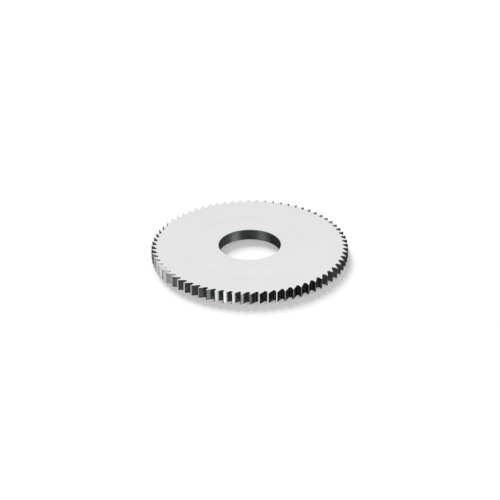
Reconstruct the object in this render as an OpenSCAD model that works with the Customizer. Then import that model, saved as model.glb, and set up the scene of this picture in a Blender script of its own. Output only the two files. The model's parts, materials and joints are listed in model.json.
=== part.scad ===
// Slitting saw: one ground disc with a plain bore and fine angular teeth.
// The blade lies flat, with the bore axis on Z, its lower side on z = 0 and a tooth tip on +X.
// Seen from above it cuts clockwise: every cutting face looks clockwise.

/* [Blade] */
// Diameter over the tooth tips
tip_d = 70; // [60:0.5:90]
// Width of cut, across the sides of the teeth
width = 4; // [1:0.1:6]

/* [Bore and hub] */
// Diameter of the arbor bore
bore_d = 22; // [8:0.5:32]
// Chamfer at both ends of the bore
bore_chamfer = 0.15; // [0.05:0.05:0.4]
// Diameter of the flat hub that the arbor collars clamp
hub_d = 36; // [34:0.5:40]

/* [Side clearance] */
// Depth that each side is hollow ground, at its deepest next to the hub
side_relief = 0.05; // [0.01:0.01:0.2]
// Radial run-out of the hollow at the hub
hub_runout = 4; // [1:0.5:5]
// Radial width of the full-width rim below the tooth gullets
rim_w = 1.2; // [0.5:0.1:2.5]

/* [Teeth] */
// Number of teeth
tooth_count = 72; // [56:1:90]
// Radial depth from tooth tip to gullet bottom
tooth_depth = 1.9; // [1.3:0.05:2.4]
// Rake of the cutting face, ahead of the radius through the tip, in degrees
rake_angle = 6; // [0:0.5:12]
// Clearance of the land behind the cutting edge, in degrees
relief_angle = 18; // [8:0.5:20]
// Width of the land behind the cutting edge
land_w = 0.3; // [0.1:0.05:0.5]
// Radius at the bottom of the gullet
gullet_r = 0.55; // [0.3:0.05:0.65]

/* [Hidden] */
$fn = 96;

tip_r = tip_d / 2;
bore_r = bore_d / 2;
hub_r = hub_d / 2;
root_r = tip_r - tooth_depth;
rim_r = root_r - rim_w;
pitch_angle = 360 / tooth_count;

// The blank stands proud of the tips, so that grinding the tooth spaces leaves sharp edges
grinding_allowance = 0.5;
blank_r = tip_r + grinding_allowance;
// The tooth-space cutters run this far past the blank, outwards and at both sides
cutter_overrun = 1.5;
cutter_r = blank_r + cutter_overrun;
// The straight flanks end this far inside the gullet circle, so that the two cuts overlap
flank_overlap = 0.001;
flank_r = gullet_r - flank_overlap;

function along(angle, length) = length * [cos(angle), sin(angle)];

// Tooth space between a tip at angle 0 and the next tip one pitch further, anticlockwise.
// The land falls from the first tip at the relief angle.
first_tip = along(0, tip_r);
land_direction = 90 + relief_angle;
heel = first_tip + along(land_direction, land_w);
land_start = first_tip - along(land_direction, cutter_overrun);

// The cutting face runs inwards from the second tip, tilted by the rake.
second_tip = along(pitch_angle, tip_r);
face_direction = pitch_angle + 180 - rake_angle;
face_normal = along(face_direction + 90, 1);
face_end = second_tip - along(face_direction, cutter_r - tip_r);

// The gullet circle touches the cutting face and reaches down to the root circle.
gullet_offset = second_tip * face_normal + flank_r;
gullet_run = sqrt(pow(root_r + gullet_r, 2) - pow(gullet_offset, 2));
gullet_centre = gullet_offset * face_normal - along(face_direction, gullet_run);
face_root = gullet_centre - flank_r * face_normal;

// The tooth back runs straight from the heel of the land and touches the gullet circle.
heel_to_gullet = gullet_centre - heel;
back_direction = atan2(heel_to_gullet.y, heel_to_gullet.x) + asin(flank_r / norm(heel_to_gullet));
back_length = sqrt(pow(norm(heel_to_gullet), 2) - pow(flank_r, 2));
back_root = heel + along(back_direction, back_length);

// Radial half section of the blank: hub, hollow-ground sides, full-width rim and chamfered bore.
module blank_section() {
    polygon([
        [bore_r + bore_chamfer, 0],
        [hub_r, 0],
        [hub_r + hub_runout, side_relief],
        [rim_r, 0],
        [blank_r, 0],
        [blank_r, width],
        [rim_r, width],
        [hub_r + hub_runout, width - side_relief],
        [hub_r, width],
        [bore_r + bore_chamfer, width],
        [bore_r, width - bore_chamfer],
        [bore_r, bore_chamfer]
    ]);
}

module blank() {
    rotate_extrude() blank_section();
}

module tooth_space() {
    polygon([
        land_start,
        heel,
        back_root,
        face_root,
        face_end,
        along(pitch_angle, cutter_r),
        along(0, cutter_r)
    ]);
    translate(gullet_centre) circle(r = gullet_r);
}

module tooth_space_cutter() {
    translate([0, 0, -cutter_overrun])
        linear_extrude(width + 2 * cutter_overrun) tooth_space();
}

module saw_blade() {
    color("silver") difference() {
        blank();
        for (tooth = [0 : tooth_count - 1])
            rotate(tooth * pitch_angle) tooth_space_cutter();
    }
}

saw_blade();
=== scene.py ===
"""Slitting saw on a pale studio floor: a ground disc with a plain bore and a ring of fine angular teeth."""

import json
import logging
import math
from dataclasses import dataclass, field
from enum import Enum, IntEnum

import bmesh
import bpy
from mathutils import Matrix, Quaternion, Vector


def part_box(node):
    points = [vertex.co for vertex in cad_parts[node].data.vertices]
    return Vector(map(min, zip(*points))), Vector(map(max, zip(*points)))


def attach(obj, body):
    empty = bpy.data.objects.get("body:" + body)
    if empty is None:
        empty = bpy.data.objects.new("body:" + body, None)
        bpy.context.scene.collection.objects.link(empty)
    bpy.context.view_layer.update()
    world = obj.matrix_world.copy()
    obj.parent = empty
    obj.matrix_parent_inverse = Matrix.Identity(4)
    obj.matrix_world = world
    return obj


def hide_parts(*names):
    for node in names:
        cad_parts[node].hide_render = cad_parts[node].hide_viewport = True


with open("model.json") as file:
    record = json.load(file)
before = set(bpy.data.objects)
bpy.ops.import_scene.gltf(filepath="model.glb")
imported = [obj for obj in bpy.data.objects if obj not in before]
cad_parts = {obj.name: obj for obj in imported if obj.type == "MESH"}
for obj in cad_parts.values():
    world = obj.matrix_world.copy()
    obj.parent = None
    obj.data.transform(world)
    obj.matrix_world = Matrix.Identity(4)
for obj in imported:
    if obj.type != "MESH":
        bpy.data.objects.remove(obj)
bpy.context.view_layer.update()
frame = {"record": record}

MM = 0.001
NODE_NAME = "saw_blade"
ZONE = "zone"
DECIMALS = 3
QUARTER_TURN = 0.25
WHITE = 1.0
VIEW_AXIS = Vector((0.0, 0.0, 1.0))

Colour = tuple[float, float, float]
NodeValue = bpy.types.NodeSocket | float | tuple[float, ...]

log = logging.getLogger("slitting_saw")


class Zone(IntEnum):
    """The ground surfaces of the blade, each left by its own grinding pass."""

    SIDE = 0
    LAND = 1
    BACK = 2
    GULLET = 3
    FACE = 4
    BORE = 5


class Lay(Enum):
    """The way that the fine grinding lines of a surface run."""

    TURBINE = "arcs that sweep outwards from the bore"
    AXIAL = "straight lines across the width of the blade"
    LEVEL = "level lines, parallel to the sides"


def polar(angle: float, length: float = 1.0) -> Vector:
    """Returns the plan point at an angle in radians and a distance from the bore axis."""
    return Vector((length * math.cos(angle), length * math.sin(angle)))


def turned(point: Vector, angle: float) -> Vector:
    """Returns a plan point turned anticlockwise about the bore axis."""
    c, s = math.cos(angle), math.sin(angle)
    return Vector((c * point.x - s * point.y, s * point.x + c * point.y))


def grey(level: float) -> tuple[float, float, float, float]:
    """Returns an opaque neutral colour."""
    return level, level, level, 1.0


@dataclass(frozen=True)
class Flank:
    """A straight ground flank of a tooth in plan.

    Attributes:
        heading: Direction of the outward normal, in radians.
        reach: Distance of the flank from the bore axis along that normal, in millimetres.
    """

    heading: float
    reach: float

    @property
    def normal(self) -> Vector:
        """The outward normal, out of the metal."""
        return polar(self.heading)

    def inset(self, depth: float) -> "Flank":
        """Returns the flank moved into the metal by a depth."""
        return Flank(self.heading, self.reach - depth)

    def turned(self, angle: float) -> "Flank":
        """Returns the flank turned anticlockwise about the bore axis."""
        return Flank(self.heading + angle, self.reach)

    def meet(self, other: "Flank") -> Vector:
        """Returns the corner where two flanks cross.

        Args:
            other: The flank that this one crosses.

        Returns:
            The plan point on both flanks.
        """
        a, b = self.normal, other.normal
        cross = a.x * b.y - a.y * b.x
        return Vector((self.reach * b.y - other.reach * a.y, other.reach * a.x - self.reach * b.x)) / cross

    def at(self, angle: float) -> Vector:
        """Returns the point of the flank on the ray at an angle."""
        ray = polar(angle)
        return ray * (self.reach / self.normal.dot(ray))


@dataclass(frozen=True)
class ToothSpace:
    """The gap between two teeth in plan: land, back, gullet and the cutting face of the next tooth.

    The first tip is on +X and the second one pitch further, anticlockwise. Lengths are in millimetres.

    Attributes:
        tip_r: Radius of the circle over the tips.
        count: Number of teeth.
        depth: Radial depth from tip to gullet bottom.
        rake: Tilt of the cutting face ahead of the radius, in radians.
        relief: Clearance of the land behind the cutting edge, in radians.
        land: Width of the land.
        gullet_r: Radius at the bottom of the gullet.
        arc_steps: Facets round the gullet.
        seam_share: Where the sector's seam crosses the tooth back, as a share of the pitch.
    """

    tip_r: float
    count: int = 72
    depth: float = 1.9
    rake: float = math.radians(6.0)
    relief: float = math.radians(18.0)
    land: float = 0.3
    gullet_r: float = 0.55
    arc_steps: int = 12
    seam_share: float = 0.3

    @property
    def pitch(self) -> float:
        """Angle from tip to tip."""
        return math.tau / self.count

    @property
    def seam(self) -> float:
        """Angle of the sector's first edge."""
        return self.pitch * self.seam_share

    @property
    def land_flank(self) -> Flank:
        """The land behind the first tip."""
        return Flank(self.relief, self.tip_r * math.cos(self.relief))

    @property
    def face_flank(self) -> Flank:
        """The cutting face under the second tip."""
        heading = self.pitch - self.rake - math.pi / 2
        return Flank(heading, polar(heading).dot(polar(self.pitch, self.tip_r)))

    @property
    def gullet_centre(self) -> Vector:
        """Centre of the gullet circle, which touches the cutting face and the root circle."""
        face = self.face_flank
        out = face.reach + self.gullet_r
        along = math.sqrt((self.tip_r - self.depth + self.gullet_r) ** 2 - out**2)
        return polar(face.heading, out) + polar(face.heading + math.pi / 2, along)

    @property
    def back_flank(self) -> Flank:
        """The tooth back, from the heel of the land to the gullet circle, which it touches."""
        heel = polar(0.0, self.tip_r) + polar(self.relief + math.pi / 2, self.land)
        run = self.gullet_centre - heel
        heading = math.atan2(run.y, run.x) + math.asin(self.gullet_r / run.length) - math.pi / 2
        return Flank(heading, polar(heading).dot(heel))

    def outline(self, inset: float) -> list[Vector]:
        """Draws one sector's edge, anticlockwise, from a seam on a tooth back to the next seam.

        Args:
            inset: How far the edge lies inside the ground flanks.

        Returns:
            The points of the edge. The stretch after each point is in the zone that zones() gives for it.
        """
        land, back, face = (f.inset(inset) for f in (self.land_flank, self.back_flank, self.face_flank))
        radius = self.gullet_r + inset
        start = back.heading + math.pi
        sweep = (face.heading + math.pi - start - math.pi) % math.tau - math.pi
        steps = range(self.arc_steps + 1)
        arc = [self.gullet_centre + polar(start + sweep * i / self.arc_steps, radius) for i in steps]
        tip = face.meet(land.turned(self.pitch))
        heel = turned(land.meet(back), self.pitch)
        first = back.at(self.seam)
        return [first, *arc, tip, heel, turned(first, self.pitch)]

    def zones(self) -> list[Zone]:
        """Returns the zone of each stretch of the outline."""
        return [Zone.BACK, *[Zone.GULLET] * self.arc_steps, Zone.FACE, Zone.LAND, Zone.BACK]


@dataclass(frozen=True)
class GroundFinish:
    """A ground metal surface with its fine grinding lines.

    Attributes:
        name: Name of the material.
        lay: The way the lines run.
        bright: Reflectance of the metal between the lines; on the cutting faces, gullets and bore it is set
            low as painted shade.
        dull: Reflectance in the deeper lines, set low there as painted shade as well.
        roughness: Least and greatest roughness.
        lines: Lines per metre, or per radian for arcs that sweep outwards.
        depth: Depth of the lines in metres.
        grain: How far the gloss is stretched across the lines, from 0 to 1.
        stretch: Pace of the pattern along straight lines, as a share of its pace across them.
        sweep: Turn of the swept arcs in radians per metre of radius.
        line_detail: Octaves of noise in the lines.
        line_share: Share of the lines in the pattern; soft clouds make up the rest.
        clouds: Soft clouds per metre.
        cloud_detail: Octaves of noise in the clouds.
        pattern_range: The values of the pattern that are spread from dull to bright.
    """

    name: str
    lay: Lay
    bright: Colour
    dull: Colour
    roughness: tuple[float, float]
    lines: float
    depth: float
    grain: float = 0.0
    stretch: float = 0.01
    sweep: float = 45.0
    line_detail: float = 3.0
    line_share: float = 0.65
    clouds: float = 60.0
    cloud_detail: float = 2.0
    pattern_range: tuple[float, float] = (0.3, 0.7)

    def material(self) -> bpy.types.Material:
        """Builds the material.

        Returns:
            A metal whose lines change its tone, its roughness and its surface a little.
        """
        made = bpy.data.materials.new(self.name)
        made.use_nodes = True
        net = NodeNet(made.node_tree)
        metal = net.tree.nodes["Principled BSDF"]
        metal.inputs["Metallic"].default_value = 1.0
        metal.inputs["Anisotropic"].default_value = self.grain
        metal.inputs["Anisotropic Rotation"].default_value = QUARTER_TURN if self.lay is Lay.LEVEL else 0.0
        lines = net.noise(self.line_coordinates(net), self.line_detail)
        cloud = net.noise(net.scaled(net.place(), self.clouds), self.cloud_detail)
        pattern = net.math("MULTIPLY", lines, self.line_share)
        pattern = net.math("MULTIPLY_ADD", cloud, 1.0 - self.line_share, pattern)
        share = net.spread(pattern, *self.pattern_range, 0.0, 1.0)
        net.feed(metal.inputs["Base Color"], net.tone(share, self.dull, self.bright))
        low, high = self.roughness
        net.feed(metal.inputs["Roughness"], net.spread(pattern, *self.pattern_range, high, low))
        bump = net.add("ShaderNodeBump")
        bump.inputs["Distance"].default_value = self.depth
        net.feed(bump.inputs["Height"], lines)
        net.feed(metal.inputs["Normal"], bump.outputs["Normal"])
        return made

    def line_coordinates(self, net: "NodeNet") -> bpy.types.NodeSocket:
        """Stretches the object's coordinates along the lay.

        Args:
            net: The material's nodes.

        Returns:
            A vector that changes fast across the lines and slowly along them.
        """
        place = net.place()
        if self.lay is Lay.AXIAL:
            return net.scaled(place, self.lines, self.lines * self.stretch)
        if self.lay is Lay.LEVEL:
            return net.scaled(place, self.lines * self.stretch, self.lines)
        apart = net.separate(place)
        plan = net.combine(apart[0], apart[1], 0.0)
        radius = net.vector("LENGTH", plan)
        heading = net.vector("NORMALIZE", plan)
        sweep = net.add("ShaderNodeVectorRotate", rotation_type="Z_AXIS")
        net.feed(sweep.inputs["Vector"], heading)
        net.feed(sweep.inputs["Angle"], net.math("MULTIPLY", radius, self.sweep))
        return net.scaled(sweep.outputs["Vector"], self.lines)


class NodeNet:
    """Short ways to add and join nodes in one tree."""

    def __init__(self, tree: bpy.types.NodeTree) -> None:
        """Keeps the tree that the nodes go into."""
        self.tree = tree

    def add(self, kind: str, **settings: object) -> bpy.types.Node:
        """Adds a node and sets its options.

        Args:
            kind: The node's type.
            settings: The options by name.

        Returns:
            The new node.
        """
        node = self.tree.nodes.new(kind)
        for name, value in settings.items():
            setattr(node, name, value)
        return node

    def feed(self, socket: bpy.types.NodeSocket, value: NodeValue) -> None:
        """Joins an output to an input, or sets the input where the value is a plain one.

        Args:
            socket: The input.
            value: An output of another node, or a plain value.
        """
        if isinstance(value, bpy.types.NodeSocket):
            self.tree.links.new(value, socket)
        else:
            socket.default_value = value

    @staticmethod
    def port(sockets: bpy.types.bpy_prop_collection, identifier: str) -> bpy.types.NodeSocket:
        """Returns the socket with an identifier, where several share a name."""
        return next(s for s in sockets if s.identifier == identifier)

    def mix(self, share: NodeValue, low: NodeValue, high: NodeValue) -> bpy.types.NodeSocket:
        """Mixes two numbers.

        Args:
            share: Where the result lies, from 0 to 1.
            low: The number at 0.
            high: The number at 1.

        Returns:
            The output with the number between them.
        """
        node = self.add("ShaderNodeMix", data_type="FLOAT")
        for name, value in zip(("Factor_Float", "A_Float", "B_Float"), (share, low, high)):
            self.feed(self.port(node.inputs, name), value)
        return self.port(node.outputs, "Result_Float")

    def tone(self, share: NodeValue, low: Colour, high: Colour) -> bpy.types.NodeSocket:
        """Mixes two colours.

        Args:
            share: Where the result lies, from 0 to 1.
            low: The colour at 0: red, green and blue.
            high: The colour at 1.

        Returns:
            The output with the colour between them.
        """
        node = self.add("ShaderNodeMix", data_type="RGBA")
        for name, value in zip(("Factor_Float", "A_Color", "B_Color"), (share, (*low, 1.0), (*high, 1.0))):
            self.feed(self.port(node.inputs, name), value)
        return self.port(node.outputs, "Result_Color")

    def place(self) -> bpy.types.NodeSocket:
        """Returns the object's own coordinates, in metres."""
        return self.add("ShaderNodeTexCoord").outputs["Object"]

    def math(self, operation: str, *values: NodeValue) -> bpy.types.NodeSocket:
        """Does a sum on numbers.

        Args:
            operation: The kind of sum.
            values: The numbers, in the order of the node's inputs.

        Returns:
            The output with the result.
        """
        node = self.add("ShaderNodeMath", operation=operation)
        for socket, value in zip(node.inputs, values):
            self.feed(socket, value)
        return node.outputs["Value"]

    def vector(self, operation: str, value: NodeValue) -> bpy.types.NodeSocket:
        """Does a sum on one vector.

        Args:
            operation: The kind of sum.
            value: The vector.

        Returns:
            The output with the result, a number for a length and a vector otherwise.
        """
        node = self.add("ShaderNodeVectorMath", operation=operation)
        self.feed(node.inputs[0], value)
        return node.outputs["Value" if operation == "LENGTH" else "Vector"]

    def scaled(self, value: NodeValue, across: float, along: float | None = None) -> bpy.types.NodeSocket:
        """Stretches a vector.

        Args:
            value: The vector.
            across: The factor on X and Y.
            along: The factor on Z, where it is another one.

        Returns:
            The output with the stretched vector.
        """
        node = self.add("ShaderNodeVectorMath", operation="MULTIPLY")
        self.feed(node.inputs[0], value)
        node.inputs[1].default_value = (across, across, across if along is None else along)
        return node.outputs["Vector"]

    def separate(self, value: NodeValue) -> list[bpy.types.NodeSocket]:
        """Takes a vector apart.

        Args:
            value: The vector.

        Returns:
            The outputs with its X, Y and Z.
        """
        node = self.add("ShaderNodeSeparateXYZ")
        self.feed(node.inputs[0], value)
        return list(node.outputs)

    def combine(self, *values: NodeValue) -> bpy.types.NodeSocket:
        """Makes a vector.

        Args:
            values: Its X, Y and Z.

        Returns:
            The output with the vector.
        """
        node = self.add("ShaderNodeCombineXYZ")
        for socket, value in zip(node.inputs, values):
            self.feed(socket, value)
        return node.outputs["Vector"]

    def noise(self, value: NodeValue, detail: float) -> bpy.types.NodeSocket:
        """Reads noise at a vector.

        Args:
            value: The vector.
            detail: Octaves of noise.

        Returns:
            The output with the noise, from 0 to 1.
        """
        node = self.add("ShaderNodeTexNoise")
        self.feed(node.inputs["Vector"], value)
        node.inputs["Scale"].default_value = 1.0
        node.inputs["Detail"].default_value = detail
        return node.outputs["Fac"]

    def spread(self, value: NodeValue, *ends: float) -> bpy.types.NodeSocket:
        """Moves a number from one range to another and holds it at the ends.

        Args:
            value: The number.
            ends: Least and greatest of the first range, then what they become.

        Returns:
            The output with the moved number.
        """
        node = self.add("ShaderNodeMapRange", clamp=True)
        self.feed(node.inputs["Value"], value)
        for name, end in zip(("From Min", "From Max", "To Min", "To Max"), ends):
            node.inputs[name].default_value = end
        return node.outputs["Result"]


SIDE_FINISH = GroundFinish(
    name="side_ground_near_mirror",
    lay=Lay.TURBINE,
    bright=(0.79, 0.795, 0.79),
    dull=(0.735, 0.74, 0.74),
    roughness=(0.045, 0.085),
    lines=220.0,
    depth=0.4e-6,
)
LAND_FINISH = GroundFinish(
    name="tooth_land_ground",
    lay=Lay.AXIAL,
    bright=(0.77, 0.775, 0.775),
    dull=(0.7, 0.705, 0.71),
    roughness=(0.08, 0.13),
    lines=9000.0,
    depth=0.8e-6,
    grain=0.5,
)
BACK_FINISH = GroundFinish(
    name="tooth_back_ground",
    lay=Lay.AXIAL,
    bright=(0.77, 0.775, 0.775),
    dull=(0.7, 0.705, 0.71),
    roughness=(0.16, 0.23),
    lines=9000.0,
    depth=0.8e-6,
    grain=0.6,
)
# Painted shade: the cutting faces are the same metal as the sides, but their tone is set far darker to
# stand in for the shade between the teeth.
FACE_PAINTED_SHADE_FINISH = GroundFinish(
    name="cutting_face_painted_shade",
    lay=Lay.AXIAL,
    bright=(0.12, 0.125, 0.13),
    dull=(0.09, 0.095, 0.1),
    roughness=(0.16, 0.22),
    lines=9000.0,
    depth=0.8e-6,
)
# Painted shade: the gullets are the same metal as the sides, but their tone is set far darker to stand in
# for the shade deep between the teeth.
GULLET_PAINTED_SHADE_FINISH = GroundFinish(
    name="gullet_painted_shade",
    lay=Lay.AXIAL,
    bright=(0.13, 0.135, 0.14),
    dull=(0.1, 0.105, 0.11),
    roughness=(0.22, 0.3),
    lines=7000.0,
    depth=1.5e-6,
)
# Painted shade: the bore wall's tone is set far below that of honed metal to stand in for the shade inside
# the bore.
BORE_PAINTED_SHADE_FINISH = GroundFinish(
    name="bore_honed_painted_shade",
    lay=Lay.LEVEL,
    bright=(0.22, 0.225, 0.23),
    dull=(0.15, 0.155, 0.16),
    roughness=(0.34, 0.46),
    lines=6000.0,
    depth=1.0e-6,
    grain=0.5,
)


class SectorMesh:
    """One pitch of the blade while it is modelled, with the zone of each face as an attribute."""

    def __init__(self) -> None:
        """Starts an empty mesh."""
        self.bm = bmesh.new()
        self.zone_of = self.bm.faces.layers.int.new(ZONE)

    def row(self, points: list[Vector], height: float) -> list[bmesh.types.BMVert]:
        """Returns a row of corners at plan points and a height, all in millimetres."""
        return [self.bm.verts.new((p.x * MM, p.y * MM, height * MM)) for p in points]

    def face(self, corners: list[bmesh.types.BMVert], zone: Zone) -> None:
        """Adds a face.

        Args:
            corners: Its corners, anticlockwise as seen from outside.
            zone: The ground surface that it belongs to.
        """
        made = self.bm.faces.new(corners)
        made.smooth = True
        made[self.zone_of] = int(zone)

    def band(
        self, upper: list[bmesh.types.BMVert], lower: list[bmesh.types.BMVert], zones: list[Zone]
    ) -> None:
        """Joins two rows of corners with one face for each stretch.

        Args:
            upper: One row.
            lower: The row beside it, with as many corners.
            zones: The zone of each stretch.
        """
        for i, zone in enumerate(zones):
            self.face([upper[i], lower[i], lower[i + 1], upper[i + 1]], zone)

    def sharpen(self, one: bmesh.types.BMVert, other: bmesh.types.BMVert) -> None:
        """Makes the edge between two corners a sharp one."""
        self.bm.edges.get((one, other)).smooth = False

    def finish(self, name: str) -> bpy.types.Mesh:
        """Turns the sector into a plain mesh.

        Args:
            name: The mesh's name.

        Returns:
            The mesh in metres.
        """
        mesh = bpy.data.meshes.new(name)
        self.bm.to_mesh(mesh)
        self.bm.free()
        return mesh


@dataclass
class SawBlade:
    """The whole saw: one disc ground from a blank.

    Lengths are in millimetres.

    Attributes:
        teeth: The tooth space that is repeated round the rim.
        width: Width of cut.
        bore_r: Radius of the bore.
        bore_chamfer: Chamfer at both ends of the bore.
        hub_r: Radius of the flat hub.
        hub_runout: Radial run-out of the hollow at the hub.
        side_relief: Depth of the hollow-ground sides next to the hub.
        rim_w: Radial width of the full-width rim below the gullets.
        edge_break: Fine break along the sharp outline of both sides.
        ring_steps: Facets of the round surfaces in one tooth pitch.
        weld: Distance within which the sectors' seams join.
        finishes: The finish of each zone.
    """

    teeth: ToothSpace
    width: float
    bore_r: float
    bore_chamfer: float = 0.15
    hub_r: float = 18.0
    hub_runout: float = 4.0
    side_relief: float = 0.05
    rim_w: float = 1.2
    edge_break: float = 0.03
    ring_steps: int = 4
    weld: float = 0.001
    finishes: dict[Zone, GroundFinish] = field(
        default_factory=lambda: {
            Zone.SIDE: SIDE_FINISH,
            Zone.LAND: LAND_FINISH,
            Zone.BACK: BACK_FINISH,
            Zone.GULLET: GULLET_PAINTED_SHADE_FINISH,
            Zone.FACE: FACE_PAINTED_SHADE_FINISH,
            Zone.BORE: BORE_PAINTED_SHADE_FINISH,
        }
    )

    @property
    def rim_r(self) -> float:
        """Radius at which the full-width rim ends and the hollow begins."""
        return self.teeth.tip_r - self.teeth.depth - self.rim_w

    def section(self) -> list[tuple[float, float, Zone]]:
        """Draws the blade's radial half section from the upper rim round the bore to the lower rim.

        Returns:
            Radius, height and the zone of the stretch that follows, point by point.
        """
        upper = [
            (self.rim_r, 0.0, Zone.SIDE),
            (self.hub_r + self.hub_runout, self.side_relief, Zone.SIDE),
            (self.hub_r, 0.0, Zone.SIDE),
            (self.bore_r + self.bore_chamfer, 0.0, Zone.BORE),
            (self.bore_r, self.bore_chamfer, Zone.BORE),
        ]
        above = [(r, self.width - drop, zone) for r, drop, zone in upper]
        kinds = [zone for _, _, zone in upper[:-1]]
        kinds_below = [*reversed(kinds), Zone.SIDE]
        below = [(r, drop, zone) for (r, drop, _), zone in zip(reversed(upper), kinds_below)]
        return above + below

    def sector(self) -> bpy.types.Mesh:
        """Models one pitch of the blade, open at its two seams.

        Returns:
            The sector's mesh in metres, with each face's zone as an attribute.
        """
        model = SectorMesh()
        zones = self.teeth.zones()
        full, inner = self.teeth.outline(0.0), self.teeth.outline(self.edge_break)
        top = model.row(inner, self.width)
        high = model.row(full, self.width - self.edge_break)
        low = model.row(full, self.edge_break)
        bottom = model.row(inner, 0.0)
        broken_edge = [Zone.SIDE] * len(zones)
        model.band(top, high, broken_edge)
        model.band(high, low, zones)
        model.band(low, bottom, broken_edge)

        steps = self.ring_steps
        angles = [self.teeth.seam + self.teeth.pitch * i / steps for i in range(steps + 1)]
        section = self.section()
        rings = [model.row([polar(a, r) for a in angles], z) for r, z, _ in section]
        for upper, lower, (_, _, zone) in zip(rings, rings[1:], section):
            model.band(lower, upper, [zone] * steps)
        model.face([*top, *reversed(rings[0])], Zone.SIDE)
        model.face([*reversed(bottom), *rings[-1]], Zone.SIDE)
        self.sharpen(model, [top, high, low, bottom], rings)
        return model.finish("blade_sector")

    def sharpen(
        self,
        model: SectorMesh,
        edges: list[list[bmesh.types.BMVert]],
        rings: list[list[bmesh.types.BMVert]],
    ) -> None:
        """Marks the edges at which one ground surface ends and another begins.

        Args:
            model: The sector.
            edges: The rows of corners along the toothed outline, from the upper side to the lower one.
            rings: The rows of corners round the bore axis.
        """
        for row in [*edges, *rings]:
            for one, other in zip(row, row[1:]):
                model.sharpen(one, other)
        tip = self.teeth.zones().index(Zone.LAND)
        heel = tip + 1
        for upper, lower in zip(edges, edges[1:]):
            for corner in (tip, heel):
                model.sharpen(upper[corner], lower[corner])

    def build(self) -> bpy.types.Object:
        """Repeats the sector round the bore and welds the seams.

        Returns:
            The blade as one closed mesh at the origin.
        """
        seed = bpy.data.objects.new("blade_seed", self.sector())
        bpy.context.scene.collection.objects.link(seed)
        materials = {finish.name: finish.material() for finish in self.finishes.values()}
        ring = ToothRing({zone: materials[finish.name] for zone, finish in self.finishes.items()})
        ring.put_on(seed, self.teeth.count, self.weld * MM)
        depsgraph = bpy.context.evaluated_depsgraph_get()
        mesh = bpy.data.meshes.new_from_object(seed.evaluated_get(depsgraph))
        mesh.name = "blade_mesh"
        seed.modifiers.clear()
        bpy.data.objects.remove(seed)
        blade = bpy.data.objects.new("saw_blade_ground", mesh)
        bpy.context.scene.collection.objects.link(blade)
        return blade

    def dress(self, blade: bpy.types.Object) -> None:
        """Lets the blade stand for its solid and ride with it.

        Args:
            blade: The finished blade.
        """
        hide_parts(NODE_NAME)
        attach(blade, "root")


class ToothRing:
    """Geometry nodes that repeat a sector round the bore axis and give each zone its material."""

    def __init__(self, materials: dict[Zone, bpy.types.Material]) -> None:
        """Builds the tree.

        Args:
            materials: The material of each zone.
        """
        self.materials = materials
        self.tree = bpy.data.node_groups.new("tooth_ring", "GeometryNodeTree")
        self.offer("Sector", "NodeSocketGeometry")
        self.count = self.offer("Tooth count", "NodeSocketInt")
        self.weld = self.offer("Weld distance", "NodeSocketFloat")
        self.finish = {zone: self.offer(self.label(zone), "NodeSocketMaterial") for zone in materials}
        self.tree.interface.new_socket("Blade", in_out="OUTPUT", socket_type="NodeSocketGeometry")
        self.wire()

    @staticmethod
    def label(zone: Zone) -> str:
        """Returns the name of the input for a zone's material."""
        return f"{zone.name.title()} finish"

    def offer(self, name: str, kind: str) -> str:
        """Adds an input to the tree and returns its identifier."""
        return self.tree.interface.new_socket(name, in_out="INPUT", socket_type=kind).identifier

    def wire(self) -> None:
        """Adds the nodes: points, turned copies, one mesh, welded seams and materials."""
        net = NodeNet(self.tree)
        given = net.add("NodeGroupInput").outputs
        points = net.add("GeometryNodePoints")
        net.feed(points.inputs["Count"], given["Tooth count"])
        index = net.add("GeometryNodeInputIndex").outputs["Index"]
        turn = net.math("DIVIDE", net.math("MULTIPLY", index, math.tau), given["Tooth count"])
        copies = net.add("GeometryNodeInstanceOnPoints")
        net.feed(copies.inputs["Points"], points.outputs[0])
        net.feed(copies.inputs["Instance"], given["Sector"])
        net.feed(copies.inputs["Rotation"], net.combine(0.0, 0.0, turn))
        real = net.add("GeometryNodeRealizeInstances")
        net.feed(real.inputs["Geometry"], copies.outputs["Instances"])
        weld = net.add("GeometryNodeMergeByDistance")
        net.feed(weld.inputs["Geometry"], real.outputs["Geometry"])
        net.feed(weld.inputs["Distance"], given["Weld distance"])
        shape = weld.outputs["Geometry"]
        zone_of = net.add("GeometryNodeInputNamedAttribute", data_type="INT")
        zone_of.inputs["Name"].default_value = ZONE
        for zone in self.materials:
            same = net.add("FunctionNodeCompare", data_type="INT", operation="EQUAL")
            net.feed(net.port(same.inputs, "A_INT"), zone_of.outputs["Attribute"])
            net.feed(net.port(same.inputs, "B_INT"), int(zone))
            paint = net.add("GeometryNodeSetMaterial")
            net.feed(paint.inputs["Geometry"], shape)
            net.feed(paint.inputs["Selection"], same.outputs["Result"])
            net.feed(paint.inputs["Material"], given[self.label(zone)])
            shape = paint.outputs["Geometry"]
        net.feed(net.add("NodeGroupOutput").inputs["Blade"], shape)

    def put_on(self, seed: bpy.types.Object, count: int, weld: float) -> None:
        """Adds the tree to the sector's object and sets its inputs.

        Args:
            seed: The object that holds one sector.
            count: Number of teeth.
            weld: Distance in metres within which seams join.
        """
        modifier = seed.modifiers.new("tooth_ring", "NODES")
        modifier.node_group = self.tree
        modifier[self.count] = count
        modifier[self.weld] = weld
        for zone, material in self.materials.items():
            modifier[self.finish[zone]] = material


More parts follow.
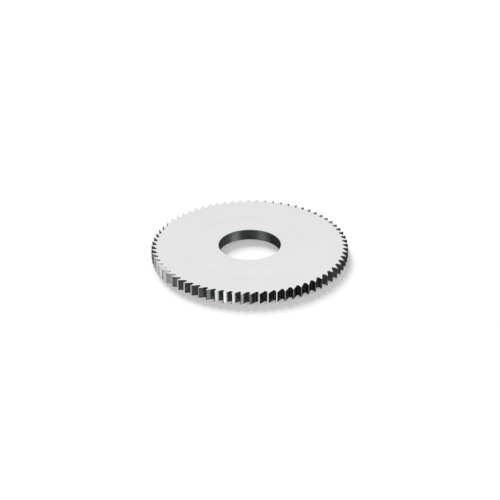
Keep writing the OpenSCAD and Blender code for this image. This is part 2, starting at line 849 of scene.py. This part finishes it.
@dataclass(frozen=True)
class Camera:
    """The camera of the photograph, seen from the blade.

    Attributes:
        azimuth: Direction from the blade, anticlockwise from +X, in radians.
        elevation: Angle above the floor, in radians.
        distance: Distance from the middle of the upper side, in metres.
        focal_px: Focal length in pixels of the picture.
        side_px: Side of the square picture, in pixels.
        middle_px: Where the middle of the upper side lies in the picture, from its upper left corner.
        roll: Turn of the picture, anticlockwise, in radians.
        sensor_mm: Width of the sensor, in millimetres.
        clip: Nearest and farthest distance that is shown, in metres.
    """

    azimuth: float = math.radians(270.33)
    elevation: float = math.radians(28.8)
    distance: float = 0.5529
    focal_px: float = 1553.0
    side_px: float = 500.0
    middle_px: tuple[float, float] = (249.745, 244.467)
    roll: float = math.radians(0.45)
    sensor_mm: float = 36.0
    clip: tuple[float, float] = (0.01, 20.0)

    def build(self, middle: Vector) -> bpy.types.Object:
        """Places the camera.

        Args:
            middle: The middle of the upper side, in metres.

        Returns:
            The camera, which is also made the scene's own.
        """
        data = bpy.data.cameras.new("photo_camera")
        data.sensor_width = self.sensor_mm
        data.lens = data.sensor_width * self.focal_px / self.side_px
        data.clip_start, data.clip_end = self.clip
        camera = bpy.data.objects.new("photo_camera", data)
        bpy.context.scene.collection.objects.link(camera)
        outwards, rise = polar(self.azimuth, math.cos(self.elevation)), math.sin(self.elevation)
        back = Vector((*outwards, rise))
        right = Vector((*polar(self.azimuth + math.pi / 2), 0.0))
        up = back.cross(right)
        metres_per_px = self.distance / self.focal_px
        right_px = self.side_px / 2 - self.middle_px[0]
        down_px = self.side_px / 2 - self.middle_px[1]
        aim = middle + (right * right_px - up * down_px) * metres_per_px
        camera.location = middle + back * self.distance
        camera.rotation_mode = "QUATERNION"
        level = (aim - camera.location).to_track_quat("-Z", "Y")
        camera.rotation_quaternion = level @ Quaternion(VIEW_AXIS, -self.roll)
        bpy.context.scene.camera = camera
        return camera


@dataclass(frozen=True)
class Softbox:
    """A bright panel that stands round the floor and shows in its polish.

    Attributes:
        azimuth: Direction from the blade, anticlockwise from +X, in degrees.
        half_width: Half of its width, to the middle of its soft edge, in degrees.
        edge: Width of its soft edge, in degrees.
        level: Its brightness, where 1 is white.
    """

    azimuth: float
    half_width: float
    edge: float
    level: float


@dataclass
class Studio:
    """A pale floor under soft light, in a white room.

    Attributes:
        floor_side: Side of the square floor, in metres.
        floor_colour: Reflectance of the matt floor.
        floor_lift: Light that the floor sends to the camera itself, so that it reads as white.
        floor_polish: Reflectance of the floor as the blade's flanks see it.
        floor_gloss: Roughness of that polish.
        ambient: Light of the room on the floor.
        room_heights: Sines of the heights between which the room, as the blade mirrors it, grows brighter.
        room_levels: Brightness of the room at those two heights.
        shade: Brightness of the room between the softboxes, as the floor's polish shows it.
        softboxes: The panels round the floor.
        polish_depth: Mirrorings past which a ray is taken to have met the floor's polish.
        lamp_heading: Direction from the blade to the back light.
        lamp_breadth: Breadth of the back light as seen from the blade, in radians.
        lamp_power: Power of the back light, in watts per square metre.
    """

    floor_side: float = 6.0
    floor_colour: float = 0.8
    floor_lift: float = 0.22
    floor_polish: float = 0.8
    floor_gloss: float = 0.08
    ambient: float = 0.46
    room_heights: tuple[float, float] = (0.25, 0.55)
    room_levels: tuple[float, float] = (0.84, 1.06)
    shade: float = 0.05
    softboxes: tuple[Softbox, ...] = (
        Softbox(azimuth=220.0, half_width=18.0, edge=30.0, level=1.2),
        Softbox(azimuth=327.0, half_width=15.5, edge=10.0, level=1.6),
        Softbox(azimuth=335.0, half_width=40.0, edge=20.0, level=0.12),
        Softbox(azimuth=15.0, half_width=36.0, edge=30.0, level=0.2),
        Softbox(azimuth=90.0, half_width=16.0, edge=10.0, level=1.3),
    )
    polish_depth: float = 1.5
    lamp_heading: tuple[float, float, float] = (-0.22, 0.75, 0.46)
    lamp_breadth: float = math.radians(20.0)
    lamp_power: float = 3.5

    def build(self) -> None:
        """Makes the floor, the room and the lamp."""
        self.build_floor()
        self.build_room()
        self.build_lamp()

    def build_floor(self) -> None:
        """Lays a matt white floor with a polish that shows only in the metal."""
        half = self.floor_side / 2
        mesh = bpy.data.meshes.new("studio_floor")
        corners = [(-half, -half, 0.0), (half, -half, 0.0), (half, half, 0.0), (-half, half, 0.0)]
        mesh.from_pydata(corners, [], [(0, 1, 2, 3)])
        floor = bpy.data.objects.new("studio_floor", mesh)
        bpy.context.scene.collection.objects.link(floor)
        paint = bpy.data.materials.new("floor_white")
        paint.use_nodes = True
        net = NodeNet(paint.node_tree)
        net.tree.nodes.remove(net.tree.nodes["Principled BSDF"])
        ray = net.add("ShaderNodeLightPath").outputs
        matt = net.add("ShaderNodeBsdfDiffuse")
        matt.inputs["Color"].default_value = grey(self.floor_colour)
        seen = net.math("MAXIMUM", ray["Is Camera Ray"], ray["Is Transmission Ray"])
        glow = net.add("ShaderNodeEmission")
        net.feed(glow.inputs["Strength"], net.math("MULTIPLY", seen, self.floor_lift))
        lit = net.add("ShaderNodeAddShader")
        net.feed(lit.inputs[0], matt.outputs[0])
        net.feed(lit.inputs[1], glow.outputs[0])
        polish = net.add("ShaderNodeBsdfGlossy")
        polish.inputs["Color"].default_value = grey(self.floor_polish)
        polish.inputs["Roughness"].default_value = self.floor_gloss
        both = net.add("ShaderNodeMixShader")
        net.feed(both.inputs[0], ray["Is Glossy Ray"])
        net.feed(both.inputs[1], lit.outputs[0])
        net.feed(both.inputs[2], polish.outputs[0])
        net.feed(net.tree.nodes["Material Output"].inputs["Surface"], both.outputs[0])
        mesh.materials.append(paint)

    def build_room(self) -> None:
        """Makes the white room, with softboxes where the floor's polish shows it."""
        world = bpy.data.worlds.new("studio_room")
        bpy.context.scene.world = world
        world.use_nodes = True
        net = NodeNet(world.node_tree)
        ray = net.add("ShaderNodeLightPath").outputs
        heading = net.separate(net.add("ShaderNodeTexCoord").outputs["Generated"])
        azimuth = net.math("ARCTAN2", heading[1], heading[0])
        level = self.shade
        for box in self.softboxes:
            turn = net.math("SUBTRACT", azimuth, math.radians(box.azimuth))
            away = net.math("ABSOLUTE", net.math("WRAP", turn, math.pi, -math.pi))
            inner = math.radians(box.half_width - box.edge / 2)
            outer = math.radians(box.half_width + box.edge / 2)
            level = net.math("ADD", level, net.spread(away, inner, outer, box.level, 0.0))
        deep = net.math("GREATER_THAN", ray["Glossy Depth"], self.polish_depth)
        room = net.spread(heading[2], *self.room_heights, *self.room_levels)
        mirrored = net.mix(deep, room, level)
        seen = net.math("MAXIMUM", ray["Is Camera Ray"], ray["Is Transmission Ray"])
        shown = net.mix(seen, net.mix(ray["Is Glossy Ray"], self.ambient, mirrored), WHITE)
        net.feed(net.tree.nodes["Background"].inputs["Strength"], shown)
        net.tree.nodes["Background"].inputs["Color"].default_value = grey(WHITE)

    def build_lamp(self) -> None:
        """Sets one broad, even light behind the blade, to the left, for a soft shadow on the floor."""
        data = bpy.data.lights.new("back_light", "SUN")
        data.angle = self.lamp_breadth
        data.energy = self.lamp_power
        lamp = bpy.data.objects.new("back_light", data)
        bpy.context.scene.collection.objects.link(lamp)
        lamp.location = self.lamp_heading
        lamp.rotation_mode = "QUATERNION"
        lamp.rotation_quaternion = (-lamp.location).to_track_quat("-Z", "Y")
        lamp.visible_glossy = False


def main() -> None:
    """Builds the blade and the studio."""
    logging.basicConfig(level=logging.INFO, format="%(name)s: %(message)s")
    bpy.context.scene.view_settings.view_transform = "Standard"
    low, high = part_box(NODE_NAME)
    bore = next(m for m in frame["record"]["mounts"] if m["kind"] == "bore")
    saw = SawBlade(
        teeth=ToothSpace(tip_r=round(high.x / MM, DECIMALS)),
        width=round((high.z - low.z) / MM, DECIMALS),
        bore_r=bore["dims"]["r_mm"],
    )
    blade = saw.build()
    saw.dress(blade)
    log.info("%s: %d faces, %d materials", blade.name, len(blade.data.polygons), len(blade.data.materials))
    studio = Studio()
    studio.build()
    log.info("studio: floor, room with %d softboxes, back light", len(studio.softboxes))
    camera = Camera().build(Vector((0.0, 0.0, high.z)))
    log.info("%s: lens of %.1f mm", camera.name, camera.data.lens)


if __name__ == "__main__":
    main()
